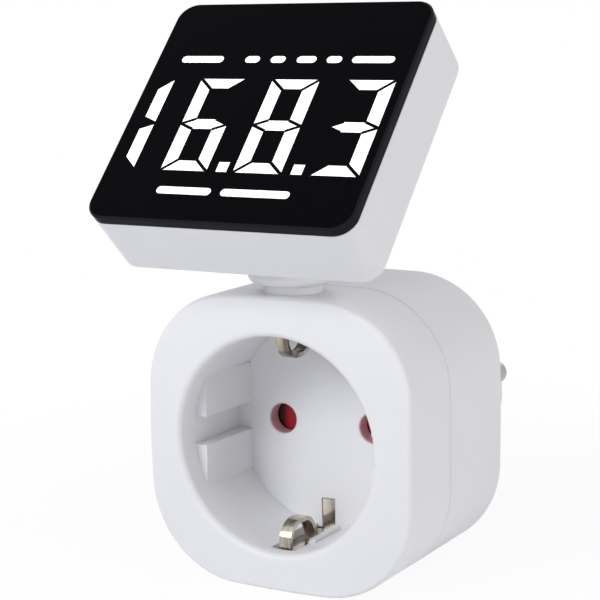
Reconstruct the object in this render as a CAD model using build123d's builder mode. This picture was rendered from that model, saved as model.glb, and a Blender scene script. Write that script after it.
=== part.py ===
from build123d import *
import math
import os

os.makedirs("parts", exist_ok=True)

# Sizes are in millimetres. The origin is the middle of the plug's end face, between the two pins.
# +Y points at the wall socket, the user looks along +Y at the front, and +Z is up.

# Mains interface, front and back
pin_spacing = 19.0
pin_radius = 2.4
pin_length = 19.0
collar_length = 19.0
collar_radius = 18.6
collar_wall = 2.0
collar_end_wall = 3.0
collar_flat = 15.9
collar_key_half = 2.2
recess_radius = 19.5
recess_depth = 19.3
recess_rim = 1.2
rim_share = 0.7
pin_hole_radius = 2.8
pin_hole_chamfer = 0.25

# Body shells
body_half = 26.6
side_crown = 0.7
face_crown = 1.5
corner_radius = 17.6
body_depth = 39.4
front_depth = 16.0
front_wall = 2.0
side_wall = 2.0
back_wall = 2.0
cup_wall = 2.2
floor_wall = 3.0
front_edge = 1.0
back_edge = 1.6
seam_gap = 0.15
seam_edge = 0.2
lip_length = 1.4
lip_inset = 1.05
lip_gap = 0.05

# Guide ribs on the two sides of the recess
rib_start = 4.3
rib_face_front = 16.9
rib_face_back = 16.2
rib_low = 2.6
rib_high = 10.3

# Case screws and their posts
screw_inset = 9.6
post_radius = 2.9
rear_post_radius = 3.4
case_gap = 0.1
well_radius = 2.6
well_floor = 27.0
case_screw_radius = 1.25
case_screw_head_radius = 2.3
case_screw_head_height = 1.8
case_screw_length = 16.0
thread_gap = 0.05
screw_gap = 0.15
drive_width = 0.8
drive_depth = 0.7

# Earth strips, one over the recess and one under it
strip_thick = 0.8
strip_half = 2.3
strip_seat = 20.55
strip_front = 2.5
strip_gap = 0.15
loop_half = 1.15
loop_front = 3.3
loop_rise = 5.35
loop_back = 10.6
loop_foot = 13.0
loop_front_radius = 3.4
loop_back_radius = 3.6
loop_rest_gap = 0.1
tab_half = 1.25
tab_thick = 0.6
tab_reach = 14.45
tab_set_back = 0.2
strip_bend_run = 2.2
strip_bend_gap = 2.6
strip_outer_seat = 18.2
strip_tail_end = 53.0
strip_tail_drop = 0.6
strip_bend_radius = 1.2
channel_half = 2.6
rail_width = 1.3
rail_height = 0.9
rail_start = 7.0
rail_end = 17.0
rail_chamfer = 0.7

# Strap that joins the two earth strips behind the recess
bridge_half = 2.0
bridge_thick = 0.8
bridge_share = 0.6
bridge_foot = 4.0
bridge_bend = 1.0

# Child-safety shutter and what carries it
shutter_gap = 0.3
shutter_thick = 2.0
shutter_lobe = 3.6
shutter_hub = 3.2
shutter_arm_half = 2.2
shutter_ramp = 0.8
pivot_radius = 1.6
pivot_gap = 0.05
spring_coil_radius = 2.5
spring_wire_radius = 0.22
spring_pitch = 0.75
spring_turns = 3
carrier_gap = 0.4
carrier_thick = 1.6
carrier_half_width = 17.0
carrier_half_height = 11.0
carrier_corner = 3.0
carrier_well = 4.0
cell_half = 5.6
cell_wall = 1.0
cell_gap = 0.8
carrier_screw_offset = 8.4
carrier_post_radius = 2.2
carrier_screw_radius = 0.9
carrier_screw_head_radius = 1.7
carrier_screw_head_height = 1.1
carrier_screw_length = 3.6

# Spring contacts that take the pins of the plugged-in appliance
blade_thick = 0.8
blade_half = 2.9
blade_mouth = 3.6
blade_grip = 2.3
blade_tail = 2.9
blade_grip_share = 0.45
blade_gap = 1.5
contact_web_gap = 0.4
contact_leg = 1.4

# Plug pins and the straps that feed them
pin_hole_gap = 0.05
shank_radius = 2.6
shank_set_back = 0.1
flange_radius = 3.5
flange_thick = 1.2
flange_gap = 0.2
tail_radius = 1.7
tail_length = 6.0
strap_thick = 0.8
strap_half = 2.2
strap_offset = 12.9
strap_eye = 3.2
strap_bend = 1.6
shunt_half = 1.3
shunt_length = 5.0

# Main circuit board
board_gap = 0.5
board_back_gap = 0.8
board_thick = 1.6
board_notch_gap = 0.5
board_pass_radius = 3.4
board_strip_notch = 17.0
board_strip_half = 3.0
pad_radius = 1.9
pad_inset = 6.0
pad_z = 8.5
board_screw_radius = 0.9
board_screw_head_radius = 1.7
board_screw_head_height = 1.1
board_screw_length = 4.0

# Parts on the main board
film_width = 6.0
film_height = 13.0
film_gap = 1.7
film_edge = 0.6
film_side_gap = 0.6
can_radius = 4.0
can_gap = 2.3
can_place_shares = (0.338, -0.571)
can_groove = 0.3
can_groove_width = 1.2
can_groove_place = 2.6
disc_radius = 4.2
disc_thick = 3.6
disc_place_shares = (-0.30, 0.52)
disc_lift = 1.2
disc_edge = 1.0
lead_radius = 0.35
lead_pitch = 5.0
chip_size = (9.9, 6.0, 1.5)
chip_place_shares = (-0.323, -0.504)
chip_lift = 0.15
chip_edge = 0.25
chip_legs = 8
chip_leg_width = 0.42
chip_leg_reach = 0.9
chip_leg_thick = 0.2
plug_box = (7.0, 3.2, 4.2)
plug_box_edge = 0.4

# Swivel neck on top of the body
neck_depth = 7.4
neck_radius = 5.3
neck_gap = 0.06
neck_lift = 1.6
neck_bore = 2.5
neck_end_drop = 2.15
turret_radius = 8.0
turret_thick = 2.7
turret_round = 1.8
turret_top_edge = 0.5
groove_top_drop = 0.75
groove_height = 0.9
groove_radius = 4.4
clip_gap = 0.05
clip_radius = 6.3
clip_opening = 5.0
clip_lug_reach = 6.9
clip_lug_half = 0.8
clip_pocket = 6.6
washer_radius = 6.2
washer_thick = 0.8
seat_cut = 0.2

# Tilt hinge between the neck and the display head
tilt_at_rest = 43.25
hinge_rise = 4.6
hinge_radius = 4.2
hinge_pin_radius = 1.5
hinge_pin_gap = 0.05
cheek_inner = 2.6
cheek_outer = 4.8
ear_inner = 5.1
ear_outer = 7.1
hinge_head_radius = 2.3
hinge_head_thick = 0.5
ear_flare = 1.4

# Display head
head_half_width = 25.6
head_half_height = 24.25
head_corner = 3.8
head_depth = 15.2
head_wall = 1.8
head_side_wall = 1.35
head_back_edge = 1.2
hinge_reach = 8.75
hinge_drop = 14.0
window_thick = 1.8
window_edge = 0.35
window_step = 1.0
window_step_gap = 0.15
window_seam = 0.1

# Light block with its seven-segment digits
block_gap = 0.25
block_top_inset = 9.25
block_low_inset = 3.25
block_thick = 6.0
block_edge = 0.8
digit_height_share = 0.833
digit_width_share = 0.3613
digit_pitch_share = 0.5605
digit_centre_share = 0.1875
half_digit_step = 0.4
digit_middle_share = -0.1505
bar_width = 2.6
bar_height = 2.2
bar_gap = 0.5
bar_depth = 1.4
dot_size = 2.15
dot_after = 1.75
lamp_width = 3.0
lamp_height = 1.6
lamp_row_share = 0.449
low_lamp_row_share = -0.738
upper_lamp_shares = (-0.62, -0.22, -0.02, 0.20, 0.41, 0.70)
upper_length_shares = (2.9, 1.0, 1.0, 1.3, 1.0, 2.7)
lower_lamp_shares = (-0.30, 0.24)
lower_length_shares = (3.6, 4.4)
dark_bars = ((), (3,), (), (0, 1))

# Display board and what is on it
display_board_gap = 1.5
display_board_thick = 1.6
display_board_corner = 2.0
head_post_inset = 5.6
head_post_radius = 2.0
head_screw_radius = 0.9
head_screw_head_radius = 1.7
head_screw_head_height = 1.1
head_screw_length = 4.0
driver_size = (7.0, 7.0, 1.0)
driver_place_shares = (0.352, 0.041)
socket_size = (6.4, 3.4, 2.0)
switch_size = (6.0, 6.0, 1.2)
switch_stem_radius = 1.6
switch_stem_gap = 0.1
button_height_share = 0.495
button_radius = 3.4
button_gap = 0.2
button_proud = 0.7
button_flange = 4.3
button_flange_thick = 0.5
button_seat_gap = 0.05
button_travel = 0.4
button_edge = 0.35

# Flat lead from the main board to the display board
lead_half = 2.0
lead_thick = 0.5
lead_clear = 0.15
lead_place = 8.7
lead_axis_gap = 0.9
lead_slot_half = 2.4
lead_slot_height = 0.8
head_lead_thick = 0.9

# One overrun for every cut that passes right through
overrun = 1.0

# Places worked out from the sizes above
plug_reach = body_depth + collar_length
body_top = body_half
strip_inner = strip_seat - strip_thick / 2
crown_radius = (body_half**2 + face_crown**2) / (2 * face_crown)
cup_radius = recess_radius + cup_wall
floor_back = recess_depth + floor_wall
front_post_end = floor_back + case_gap
rim_round = min(recess_rim, rim_share * (body_half - recess_radius - front_edge))
screw_offset = body_half - screw_inset
pad_x = body_half - pad_inset
shutter_front = floor_back + shutter_gap
carrier_front = shutter_front + shutter_thick + carrier_gap
carrier_back = carrier_front + carrier_thick
contact_front = carrier_back + shutter_gap
board_back = body_depth - back_wall - board_back_gap
board_depth = board_back - board_thick
cell_length = board_depth - cell_gap - carrier_back
blade_length = board_depth - blade_gap - contact_front
bridge_depth = carrier_back + bridge_share * (board_depth - carrier_back)
strip_bend_end = body_depth - back_wall - strip_bend_gap
strip_bend_start = strip_bend_end - strip_bend_run
pin_x = pin_spacing / 2
turret_bottom = body_top + neck_lift
turret_top = turret_bottom + turret_thick
hinge_height = turret_top + hinge_rise
neck_y = neck_depth - plug_reach
rest_angle = math.radians(tilt_at_rest)
film_place = (film_width / 2 + film_side_gap - body_half + side_wall, 0)
can_place = tuple(share * body_half for share in can_place_shares)
disc_place = tuple(share * body_half for share in disc_place_shares)
chip_place = tuple(share * body_half for share in chip_place_shares)
digit_height = digit_height_share * head_half_height
digit_width = digit_width_share * head_half_width
digit_pitch = digit_pitch_share * head_half_width
digit_centre = digit_centre_share * head_half_width
digit_middle = digit_middle_share * head_half_height
driver_place = (driver_place_shares[0] * head_half_width, driver_place_shares[1] * head_half_height)
button_place = (0, button_height_share * head_half_height)


def behind_front(depth):
    # Upright plane that faces the user, at this depth behind the front face
    return Plane.XZ.offset(plug_reach - depth)


def plan_plane(height):
    # Level plane whose local x is X and whose local y is the depth behind the front face
    return Plane(origin=(0, -plug_reach, height), x_dir=(1, 0, 0), z_dir=(0, 0, 1))


def side_plane(across=0.0):
    # Upright plane across the body whose local x is the depth behind the front face
    return Plane(origin=(across, -plug_reach, 0), x_dir=(0, 1, 0), z_dir=(1, 0, 0))


def body_outline(inset):
    # Square with slightly bowed sides and wide round corners
    half = body_half - inset
    corner = half - side_crown
    with BuildSketch() as outline:
        with BuildLine():
            ThreePointArc((-corner, corner), (0, half), (corner, corner))
            ThreePointArc((corner, corner), (half, 0), (corner, -corner))
            ThreePointArc((corner, -corner), (0, -half), (-corner, -corner))
            ThreePointArc((-corner, -corner), (-half, 0), (-corner, corner))
        make_face()
        fillet(outline.vertices(), radius=corner_radius - inset)
    return outline.sketch


def collar_outline(inset):
    # Round plug collar with a flat and a middle key on each side
    with BuildSketch() as outline:
        Circle(collar_radius)
        Rectangle(2 * collar_flat, 2 * collar_radius, mode=Mode.INTERSECT)
        with BuildSketch(mode=Mode.PRIVATE) as key:
            Circle(collar_radius)
            Rectangle(2 * collar_radius, 2 * collar_key_half, mode=Mode.INTERSECT)
        add(key.sketch)
        if inset > 0:
            offset(amount=-inset)
    return outline.sketch


def corner_places(offset_x, offset_z):
    return [(x, z) for x in (-offset_x, offset_x) for z in (-offset_z, offset_z)]


def finish_part(builder, label):
    builder.part.label = label
    export_step(builder.part, f"parts/{label}.step")


def strip_path(points, radius):
    # Bent centre line through points given as depth and height
    with BuildLine() as path:
        FilletPolyline(*points, radius=radius)
    return path.line


# Front shell: face, recess cup with guide ribs, and the screw posts
with BuildPart() as guide_ribs:
    for low in (rib_low, -rib_high):
        with BuildSketch(plan_plane(low)):
            for side in (-1, 1):
                with BuildLine():
                    Polyline(
                        (side * (recess_radius + cup_wall), rib_start),
                        (side * rib_face_front, rib_start),
                        (side * rib_face_back, floor_back),
                        (side * (recess_radius + cup_wall), floor_back),
                        close=True,
                    )
                make_face()
        extrude(amount=rib_high - rib_low)
    with BuildSketch(behind_front(0)):
        Circle(recess_radius + cup_wall / 2)
    extrude(amount=-floor_back, mode=Mode.INTERSECT)

with BuildPart() as front_shell:
    with BuildSketch(behind_front(-face_crown - overrun)):
        add(body_outline(0))
    extrude(amount=-(front_depth + face_crown + overrun))
    # Gently domed face, whose middle stands in front of its edges
    with Locations((0, crown_radius - face_crown - plug_reach, 0)):
        Sphere(crown_radius, mode=Mode.INTERSECT)
    fillet(front_shell.faces().sort_by(Axis.Y)[0].edges(), radius=front_edge)
    with BuildSketch(behind_front(front_wall)):
        add(body_outline(side_wall))
    extrude(amount=-front_depth, mode=Mode.SUBTRACT)
    with BuildSketch(behind_front(front_depth - lip_length)):
        add(body_outline(lip_inset - lip_gap))
    extrude(amount=-front_depth, mode=Mode.SUBTRACT)
    chamfer(front_shell.faces().sort_by(Axis.Y)[-1].edges().sort_by(SortBy.LENGTH)[-8:], length=seam_edge)
    with BuildSketch(behind_front(front_wall / 2)):
        with Locations(*corner_places(screw_offset, screw_offset)):
            Circle(post_radius)
    extrude(amount=-(front_post_end - front_wall / 2))
    with BuildSketch(behind_front(front_wall / 2)):
        Circle(cup_radius)
    extrude(amount=-(floor_back - front_wall / 2))
    with BuildSketch(behind_front(-face_crown - overrun)):
        Circle(recess_radius)
    extrude(amount=-(recess_depth + face_crown + overrun), mode=Mode.SUBTRACT)
    fillet(front_shell.faces().sort_by(Axis.Y)[0].inner_wires()[0].edges(), radius=rim_round)
    add(guide_ribs.part)
    # Rails that guide each earth loop, clear of its slot
    for side in (-1, 1):
        with BuildSketch(side_plane()):
            with BuildLine():
                Polyline(
                    (rail_start, side * (recess_radius + cup_wall / 2)),
                    (rail_start, side * (recess_radius - rail_height + rail_chamfer)),
                    (rail_start + rail_chamfer, side * (recess_radius - rail_height)),
                    (rail_end, side * (recess_radius - rail_height)),
                    (rail_end, side * (recess_radius + cup_wall / 2)),
                    close=True,
                )
            make_face()
        extrude(amount=strip_half + strip_gap + rail_width, both=True)
    # Slots for the earth strips and their tabs
    with BuildSketch(behind_front(strip_front - strip_gap)):
        for side in (-1, 1):
            with Locations((0, side * (strip_inner - rail_height / 2 - strip_gap))):
                Rectangle(2 * (strip_half + strip_gap), rail_height + overrun)
    extrude(amount=-(recess_depth - strip_front + strip_gap), mode=Mode.SUBTRACT)
    with BuildSketch(behind_front(strip_front - strip_gap)):
        for side in (-1, 1):
            with Locations((0, side * strip_seat)):
                Rectangle(2 * (strip_half + strip_gap), strip_thick + 2 * strip_gap)
    extrude(amount=-floor_back, mode=Mode.SUBTRACT)
    with BuildSketch(behind_front(recess_depth)):
        for side in (-1, 1):
            with Locations((0, side * (tab_reach + strip_seat) / 2)):
                Rectangle(2 * (tab_half + strip_gap), strip_seat - tab_reach + 2 * strip_gap)
    extrude(amount=-(floor_wall + overrun), mode=Mode.SUBTRACT)
    # Holes that the appliance's pins go through, each with a coned mouth
    with Locations(behind_front(recess_depth)):
        with Locations((-pin_x, 0), (pin_x, 0)):
            CounterSinkHole(
                radius=pin_hole_radius,
                counter_sink_radius=pin_hole_radius + pin_hole_chamfer,
                depth=floor_wall + overrun,
                counter_sink_angle=90,
            )
    # Shutter pivot and the posts for the contact carrier
    with BuildSketch(behind_front(floor_back)):
        Circle(pivot_radius)
    extrude(amount=-(carrier_back - floor_back))
    with BuildSketch(behind_front(floor_back)):
        with Locations((0, -carrier_screw_offset), (0, carrier_screw_offset)):
            Circle(carrier_post_radius)
    extrude(amount=-(carrier_front - floor_back))
    with BuildSketch(behind_front(carrier_front)):
        with Locations((0, -carrier_screw_offset), (0, carrier_screw_offset)):
            Circle(carrier_screw_radius + thread_gap)
    extrude(amount=carrier_screw_length - carrier_thick + screw_gap, mode=Mode.SUBTRACT)
    # Pilot holes for the case screws
    with BuildSketch(behind_front(front_post_end)):
        with Locations(*corner_places(screw_offset, screw_offset)):
            Circle(case_screw_radius + thread_gap)
    extrude(amount=case_screw_length - (well_floor - front_post_end) + overrun, mode=Mode.SUBTRACT)
    # Bore for the neck, with a flat seat and a pocket for its washer and clip
    with BuildSketch(plan_plane(body_top - side_wall - neck_end_drop)):
        with Locations((0, neck_depth)):
            Circle(clip_pocket)
    extrude(amount=neck_end_drop + seat_cut, mode=Mode.SUBTRACT)
    with BuildSketch(plan_plane(body_top - side_wall - neck_end_drop)):
        with Locations((0, neck_depth)):
            Circle(neck_radius + neck_gap)
    extrude(amount=side_wall + neck_end_drop + overrun, mode=Mode.SUBTRACT)
finish_part(front_shell, "front_shell")

# Rear shell: back cover with the hollow plug collar
with BuildPart() as rear_shell:
    with BuildSketch(behind_front(front_depth + seam_gap)):
        add(body_outline(0))
    extrude(amount=-(body_depth - front_depth - seam_gap))
    fillet(rear_shell.faces().sort_by(Axis.Y)[-1].edges(), radius=back_edge)
    chamfer(rear_shell.faces().sort_by(Axis.Y)[0].edges(), length=seam_edge)
    with BuildSketch(behind_front(front_depth + seam_gap)):
        add(body_outline(side_wall))
    extrude(amount=-(body_depth - back_wall - front_depth - seam_gap), mode=Mode.SUBTRACT)
    with BuildSketch(behind_front(front_depth - lip_length + seam_gap)):
        add(body_outline(lip_inset))
        add(body_outline(side_wall), mode=Mode.SUBTRACT)
    extrude(amount=-(lip_length + side_wall))
    with BuildSketch(behind_front(body_depth - back_wall / 2)):
        add(collar_outline(0))
    extrude(amount=-(collar_length + back_wall / 2))
    chamfer(rear_shell.faces().sort_by(Axis.Y)[-1].edges(), length=front_edge)
    # Posts over the case screws, inside the cover
    with BuildSketch(behind_front(front_post_end + case_gap)):
        with Locations(*corner_places(screw_offset, screw_offset)):
            Circle(rear_post_radius)
    extrude(amount=-(body_depth - back_wall / 2 - front_post_end - case_gap))
    # Pads that the main board is screwed to
    with BuildSketch(behind_front(board_back)):
        with Locations(*corner_places(pad_x, pad_z)):
            Circle(pad_radius)
    extrude(amount=-(body_depth - back_wall / 2 - board_back))
    with BuildSketch(behind_front(body_depth - back_wall - overrun)):
        add(collar_outline(collar_wall))
    extrude(amount=-(collar_length + back_wall + overrun - collar_end_wall), mode=Mode.SUBTRACT)
    with BuildSketch(behind_front(plug_reach)):
        with Locations((-pin_x, 0), (pin_x, 0)):
            Circle(shank_radius + pin_hole_gap)
    extrude(amount=collar_end_wall + overrun, mode=Mode.SUBTRACT)
    with BuildSketch(behind_front(body_depth)):
        with Locations(*corner_places(screw_offset, screw_offset)):
            Circle(well_radius)
    extrude(amount=body_depth - well_floor, mode=Mode.SUBTRACT)
    with BuildSketch(behind_front(body_depth)):
        with Locations(*corner_places(screw_offset, screw_offset)):
            Circle(case_screw_radius + screw_gap)
    extrude(amount=body_depth - front_post_end, mode=Mode.SUBTRACT)
    with BuildSketch(behind_front(board_back)):
        with Locations((-pad_x, pad_z), (pad_x, -pad_z)):
            Circle(board_screw_radius + thread_gap)
    extrude(amount=-(board_screw_length - board_thick + screw_gap), mode=Mode.SUBTRACT)
    # Channels for the side earth contacts, open into the body at the collar's root
    with BuildSketch(behind_front(body_depth - back_wall - overrun)):
        for side in (-1, 1):
            with Locations((0, side * strip_outer_seat)):
                Rectangle(2 * channel_half, strip_thick + 2 * strip_gap)
    extrude(amount=-(strip_tail_end + strip_gap - body_depth + back_wall + overrun), mode=Mode.SUBTRACT)
    # Deeper pocket that each contact's end tucks into
    with BuildSketch(behind_front(strip_tail_end - 2 * strip_bend_radius)):
        for side in (-1, 1):
            with Locations((0, side * (strip_outer_seat - strip_tail_drop / 2))):
                Rectangle(2 * channel_half, strip_thick + strip_tail_drop + 2 * strip_gap)
    extrude(amount=-(2 * strip_bend_radius + strip_gap), mode=Mode.SUBTRACT)
finish_part(rear_shell, "rear_shell")

# Case screws with slotted heads, driven in from the back
with BuildPart() as case_screws:
    with BuildSketch(behind_front(well_floor)):
        with Locations(*corner_places(screw_offset, screw_offset)):
            Circle(case_screw_head_radius)
    extrude(amount=-case_screw_head_height)
    with BuildSketch(behind_front(well_floor)):
        with Locations(*corner_places(screw_offset, screw_offset)):
            Circle(case_screw_radius)
    extrude(amount=case_screw_length)
    with BuildSketch(behind_front(well_floor + case_screw_head_height)):
        with Locations(*corner_places(screw_offset, screw_offset)):
            Rectangle(2 * case_screw_head_radius, drive_width)
            Rectangle(drive_width, 2 * case_screw_head_radius)
    extrude(amount=drive_depth, mode=Mode.SUBTRACT)
finish_part(case_screws, "case_screws")


# Solid plug pins, each with a thicker shank in the collar's end wall, a flange and a tail for its strap
def make_plug_pin(x, label):
    flange_back = plug_reach - collar_end_wall - flange_gap
    shoulder = plug_reach + pin_length - pin_radius
    with BuildPart() as pin:
        with BuildSketch(plan_plane(0)):
            with BuildLine():
                Polyline(
                    (x, flange_back - flange_thick - tail_length),
                    (x + tail_radius, flange_back - flange_thick - tail_length),
                    (x + tail_radius, flange_back - flange_thick),
                    (x + flange_radius, flange_back - flange_thick),
                    (x + flange_radius, flange_back),
                    (x + shank_radius, flange_back),
                    (x + shank_radius, plug_reach - shank_set_back),
                    (x + pin_radius, plug_reach - shank_set_back),
                    (x + pin_radius, shoulder),
                )
                RadiusArc((x + pin_radius, shoulder), (x, shoulder + pin_radius), -pin_radius)
                Line((x, shoulder + pin_radius), (x, flange_back - flange_thick - tail_length))
            make_face()
        revolve(axis=Axis((x, 0, 0), (0, 1, 0)))
    finish_part(pin, label)


make_plug_pin(-pin_x, "plug_pin_live")
make_plug_pin(pin_x, "plug_pin_neutral")


# Earth strip: sprung loop in the recess, tab in its floor, and side contact on the collar
def make_earth_strip(side, label):
    seat = side * strip_seat
    outer = side * strip_outer_seat
    loop_top = side * (strip_seat - loop_rise)
    run = strip_path(
        [
            (strip_front, seat),
            (strip_bend_start, seat),
            (strip_bend_end, outer),
            (strip_tail_end - strip_bend_radius, outer),
            (strip_tail_end, outer - side * strip_tail_drop),
        ],
        strip_bend_radius / 2,
    )
    with BuildLine() as loop:
        FilletPolyline(
            (loop_front, seat),
            (loop_front, loop_top),
            ((loop_front + loop_back) / 2, loop_top),
            radius=loop_front_radius,
        )
        FilletPolyline(
            ((loop_front + loop_back) / 2, loop_top),
            (loop_back, loop_top),
            (loop_foot, side * (strip_inner - loop_rest_gap - strip_thick / 4)),
            radius=loop_back_radius,
        )
    with BuildPart() as strip:
        with BuildSketch(side_plane()):
            trace(run, line_width=strip_thick)
        extrude(amount=strip_half, both=True)
        with BuildSketch(side_plane()):
            trace(loop.line, line_width=strip_thick)
        extrude(amount=loop_half, both=True)
        with BuildSketch(behind_front(recess_depth + tab_set_back)):
            with Locations((0, side * (tab_reach + strip_seat) / 2)):
                Rectangle(2 * tab_half, strip_seat - tab_reach)
        extrude(amount=-tab_thick)
    finish_part(strip, label)


make_earth_strip(1, "earth_strip_top")
make_earth_strip(-1, "earth_strip_bottom")

# Strap that joins the two earth strips
with BuildPart() as earth_bridge:
    foot_seat = strip_inner - bridge_thick / 2
    bridge_line = strip_path(
        [
            (bridge_depth - bridge_foot, foot_seat),
            (bridge_depth, foot_seat),
            (bridge_depth, -foot_seat),
            (bridge_depth - bridge_foot, -foot_seat),
        ],
        bridge_bend,
    )
    with BuildSketch(side_plane()):
        trace(bridge_line, line_width=bridge_thick)
    extrude(amount=bridge_half, both=True)
finish_part(earth_bridge, "earth_bridge")

# Child-safety shutter: a rotor whose two lobes close the pin holes
with BuildPart() as shutter:
    with BuildSketch(behind_front(shutter_front)):
        Rectangle(pin_spacing, 2 * shutter_arm_half)
        Circle(shutter_hub)
        with Locations((-pin_x, 0), (pin_x, 0)):
            Circle(shutter_lobe)
    extrude(amount=-shutter_thick)
    chamfer(shutter.faces().sort_by(Axis.Y)[0].edges(), length=shutter_ramp)
    with BuildSketch(behind_front(shutter_front)):
        Circle(pivot_radius + pivot_gap)
    extrude(amount=-shutter_thick, mode=Mode.SUBTRACT)
finish_part(shutter, "shutter")

# Torsion spring round the shutter's pivot: turns of level half rings, each a step behind the last
with BuildPart() as shutter_spring:
    spring_start = shutter_front + shutter_thick + spring_wire_radius + pivot_gap
    with BuildLine() as coil:
        for half_turn in range(2 * spring_turns):
            side = 1 if half_turn % 2 else -1
            depth = spring_start + half_turn * spring_pitch / 2 - plug_reach
            rise = spring_pitch / 2
            ThreePointArc(
                (-side * spring_coil_radius, depth, 0),
                (0, depth + rise / 2, side * spring_coil_radius),
                (side * spring_coil_radius, depth + rise, 0),
            )
    with BuildSketch(Plane(origin=coil.line @ 0, z_dir=coil.line % 0)):
        Circle(spring_wire_radius)
    sweep()
finish_part(shutter_spring, "shutter_spring")

# Contact carrier: plate behind the shutter with a cell for each spring contact
with BuildPart() as contact_carrier:
    with BuildSketch(behind_front(carrier_front)):
        RectangleRounded(2 * carrier_half_width, 2 * carrier_half_height, carrier_corner)
        Circle(carrier_well, mode=Mode.SUBTRACT)
        with Locations((-pin_x, 0), (pin_x, 0)):
            Circle(pin_hole_radius, mode=Mode.SUBTRACT)
        with Locations((0, -carrier_screw_offset), (0, carrier_screw_offset)):
            Circle(carrier_screw_radius + screw_gap, mode=Mode.SUBTRACT)
    extrude(amount=-carrier_thick)
    with BuildSketch(behind_front(carrier_back)):
        with Locations((-pin_x, 0), (pin_x, 0)):
            Rectangle(2 * cell_half, 2 * cell_half)
            Rectangle(2 * (cell_half - cell_wall), 2 * (cell_half - cell_wall), mode=Mode.SUBTRACT)
    extrude(amount=-cell_length)
finish_part(contact_carrier, "contact_carrier")

# Screws that hold the carrier to the recess
with BuildPart() as carrier_screws:
    with BuildSketch(behind_front(carrier_back)):
        with Locations((0, -carrier_screw_offset), (0, carrier_screw_offset)):
            Circle(carrier_screw_head_radius)
    extrude(amount=-carrier_screw_head_height)
    with BuildSketch(behind_front(carrier_back)):
        with Locations((0, -carrier_screw_offset), (0, carrier_screw_offset)):
            Circle(carrier_screw_radius)
    extrude(amount=carrier_screw_length)
    with BuildSketch(behind_front(carrier_back + carrier_screw_head_height)):
        with Locations((0, -carrier_screw_offset), (0, carrier_screw_offset)):
            Rectangle(2 * carrier_screw_head_radius, drive_width)
    extrude(amount=drive_depth, mode=Mode.SUBTRACT)
finish_part(carrier_screws, "carrier_screws")


# Spring contact: two sprung blades on a side web, with a leg through the board
def make_contact(x, label):
    out = 1 if x > 0 else -1
    web_face = x + out * (cell_half - cell_wall - contact_web_gap)
    web_far = web_face - out * blade_thick
    grip = contact_front + blade_length * blade_grip_share
    with BuildPart() as contact:
        for side in (-1, 1):
            with BuildLine() as blade:
                FilletPolyline(
                    (contact_front, side * blade_mouth),
                    (grip, side * (blade_grip + blade_thick / 2)),
                    (contact_front + blade_length, side * blade_tail),
                    radius=blade_mouth,
                )
            with BuildSketch(side_plane((x + web_face) / 2 - out * blade_half / 2)):
                trace(blade.line, line_width=blade_thick)
            extrude(amount=(abs(web_face - x) + blade_half) / 2, both=True)
        with BuildSketch(side_plane((web_face + web_far) / 2)):
            with Locations((contact_front + blade_length / 2, 0)):
                Rectangle(blade_length, 2 * blade_mouth)
            with Locations((contact_front + blade_length, 0)):
                Rectangle(2 * (board_back - contact_front - blade_length), 2 * contact_leg)
        extrude(amount=blade_thick / 2, both=True)
    finish_part(contact, label)


make_contact(-pin_x, "contact_live")
make_contact(pin_x, "contact_neutral")


# Straps from the board to the plug pins; the live one has the narrow measuring shunt
def make_strap(side, narrow, label):
    tail_front = plug_reach - collar_end_wall - flange_gap - flange_thick - tail_length
    eye_depth = tail_front + strap_eye / 2
    with BuildPart() as strap:
        bend = [
            (side * strap_offset, board_back),
            (side * strap_offset, eye_depth),
            (side * (pin_x - strap_eye), eye_depth),
        ]
        with BuildSketch(plan_plane(0)):
            with BuildLine() as path:
                FilletPolyline(*bend, radius=strap_bend)
            trace(path.line, line_width=strap_thick)
        extrude(amount=strap_half, both=True)
        with BuildSketch(behind_front(eye_depth - strap_thick)):
            with Locations((side * pin_x, 0)):
                Circle(tail_radius + pin_hole_gap)
        extrude(amount=-2 * strap_thick, mode=Mode.SUBTRACT)
        if narrow:
            middle = (board_back + eye_depth) / 2
            with BuildSketch(side_plane(side * strap_offset)):
                for edge in (-1, 1):
                    with Locations((middle, edge * strap_half)):
                        Rectangle(shunt_length, 2 * (strap_half - shunt_half))
            extrude(amount=strap_thick, both=True, mode=Mode.SUBTRACT)
    finish_part(strap, label)


make_strap(-1, True, "shunt_strap")
make_strap(1, False, "neutral_strap")

# Main board
with BuildPart() as main_board:
    with BuildSketch(behind_front(board_depth)):
        add(body_outline(side_wall + board_gap))
        with Locations(*corner_places(screw_offset, screw_offset)):
            Circle(rear_post_radius + board_notch_gap, mode=Mode.SUBTRACT)
        with Locations((-pin_x, 0), (pin_x, 0)):
            Circle(board_pass_radius, mode=Mode.SUBTRACT)
        for side in (-1, 1):
            with Locations((0, side * (board_strip_notch + body_half) / 2)):
                Rectangle(2 * board_strip_half, body_half - board_strip_notch, mode=Mode.SUBTRACT)
            web = pin_x + cell_half - cell_wall - contact_web_gap - blade_thick / 2
            with Locations((side * web, 0)):
                Rectangle(blade_thick + screw_gap, 2 * contact_leg + screw_gap, mode=Mode.SUBTRACT)
        with Locations((-pad_x, pad_z), (pad_x, -pad_z)):
            Circle(board_screw_radius + screw_gap, mode=Mode.SUBTRACT)
    extrude(amount=-board_thick)
finish_part(main_board, "main_board")

with BuildPart() as board_screws:
    with BuildSketch(behind_front(board_depth)):
        with Locations((-pad_x, pad_z), (pad_x, -pad_z)):
            Circle(board_screw_head_radius)
    extrude(amount=board_screw_head_height)
    with BuildSketch(behind_front(board_depth)):
        with Locations((-pad_x, pad_z), (pad_x, -pad_z)):
            Circle(board_screw_radius)
    extrude(amount=-board_screw_length)
    with BuildSketch(behind_front(board_depth - board_screw_head_height)):
        with Locations((-pad_x, pad_z), (pad_x, -pad_z)):
            Rectangle(2 * board_screw_head_radius, drive_width)
    extrude(amount=-drive_depth, mode=Mode.SUBTRACT)
finish_part(board_screws, "board_screws")

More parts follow.
